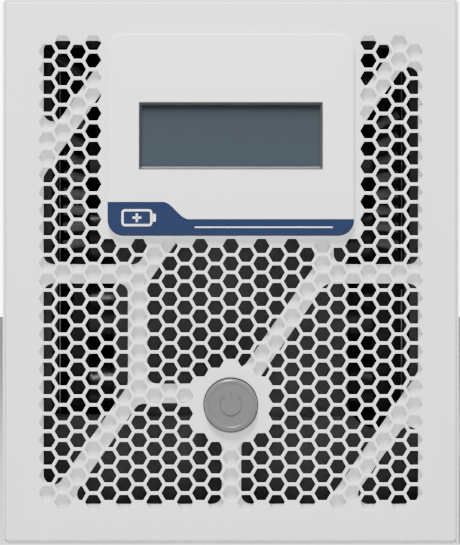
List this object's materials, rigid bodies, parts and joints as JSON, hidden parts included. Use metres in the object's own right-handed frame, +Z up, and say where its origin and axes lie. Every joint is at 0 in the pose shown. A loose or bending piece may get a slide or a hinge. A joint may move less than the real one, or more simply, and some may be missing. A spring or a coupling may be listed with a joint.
{
  "type": "battery module",
  "caption": "Upright battery module: white steel case, honeycomb grille with display plate and round power button, cell pack, rear fans, breaker and sockets.",
  "frame": {"origin": "middle of the footprint, on the surface the case stands on", "axes": "+Z up, -Y is the way the grille faces, +X to the right as seen from the front"},
  "size_m": [0.186, 0.401, 0.222],
  "materials": {
    "white_steel": "fine powder coat, satin",
    "dark_steel": "fine black powder coat",
    "zinc_steel": "bright zinc plate",
    "white_plastic": "fine moulded texture",
    "plate_plastic": "smooth satin moulding",
    "blue_film": "printed film",
    "window_plastic": "satin moulding",
    "window_lens": "smoked polycarbonate over an unlit display",
    "display_glass": "dark display cell in a black frame",
    "circuit_board": "solder mask",
    "button_grey": "satin face with a polished rim",
    "black_plastic": "moulded glass-filled plastic",
    "light_plastic": "moulded plastic",
    "cell_sleeve": "dark shrink sleeve over a steel can",
    "nickel_strip": "nickel-plated copper",
    "insulating_board": "black glass-fibre sheet",
    "holder_plastic": "moulded glass-filled plastic with lighter rib tips",
    "aluminium": "extruded, plain",
    "brass": "turned brass",
    "red_cable": "silicone insulation",
    "black_cable": "soft insulation",
    "connector_grey": "moulded nylon",
    "rubber_black": "moulded rubber"
  },
  "bodies": {
    "case": {"chassis_base": "white_steel", "outer_cover": "white_steel", "cover_screws": "zinc_steel", "rear_panel": "white_steel", "rear_screws": "zinc_steel", "front_panel": "white_plastic", "backing_frame": "white_plastic", "panel_screws": "zinc_steel", "display_plate": "plate_plastic", "display_band": "blue_film", "window_frame": "window_plastic", "window_lens": "window_lens", "lcd_cell": "display_glass", "lcd_board": "circuit_board", "lcd_screws": "zinc_steel", "button_sleeve": "black_plastic", "button_switch": "black_plastic", "switch_board": "circuit_board", "inner_bulkhead": "dark_steel", "bulkhead_screws": "zinc_steel", "cell_row_1": "cell_sleeve", "cell_row_2": "cell_sleeve", "cell_row_3": "cell_sleeve", "cell_row_4": "cell_sleeve", "cell_row_5": "cell_sleeve", "cell_row_6": "cell_sleeve", "cell_holder_left": "holder_plastic", "cell_holder_right": "holder_plastic", "busbars_left": "nickel_strip", "busbars_right": "nickel_strip", "insulating_sheets": "insulating_board", "tie_rods": "zinc_steel", "tie_rod_nuts": "zinc_steel", "pack_brackets": "zinc_steel", "pack_bolts": "zinc_steel", "rear_tray": "dark_steel", "bms_board": "circuit_board", "bms_heatsink": "aluminium", "bms_transistors": "black_plastic", "bms_standoffs": "brass", "current_shunt": "brass", "fuse_holder": "black_plastic", "main_fuse": "nickel_strip", "power_cables": "red_cable", "signal_leads": "black_cable", "fan_frame_left": "black_plastic", "fan_frame_right": "black_plastic", "fan_guards": "zinc_steel", "fan_screws": "zinc_steel", "breaker_body": "black_plastic", "power_connector": "connector_grey", "comm_sockets": "zinc_steel", "ground_stud": "brass", "ground_nut": "brass", "lead_grommets": "rubber_black"},
    "power_button": {"power_button": "button_grey", "switch_plunger": "light_plastic"},
    "fan_rotor_left": {"fan_rotor_left": "black_plastic"},
    "fan_rotor_right": {"fan_rotor_right": "black_plastic"},
    "breaker_lever": {"breaker_lever": "light_plastic"}
  },
  "joints": [
    {"name": "button_press", "type": "slide", "parent": "case", "child": "power_button", "axis": [0, 1, 0], "range_m": [0, 0.0016], "stiffness_N_per_m": 600, "springref_m": -0.003},
    {"name": "fan_spin_left", "type": "hinge", "parent": "case", "child": "fan_rotor_left", "pos_m": [-0.042, 0.1725, 0.172], "axis": [0, 1, 0], "continuous": true},
    {"name": "fan_spin_right", "type": "hinge", "parent": "case", "child": "fan_rotor_right", "pos_m": [0.042, 0.1725, 0.172], "axis": [0, 1, 0], "continuous": true},
    {"name": "breaker_toggle", "type": "hinge", "parent": "case", "child": "breaker_lever", "pos_m": [-0.062, 0.1857, 0.092], "axis": [-1, 0, 0], "range_deg": [0, 40]}
  ]
}
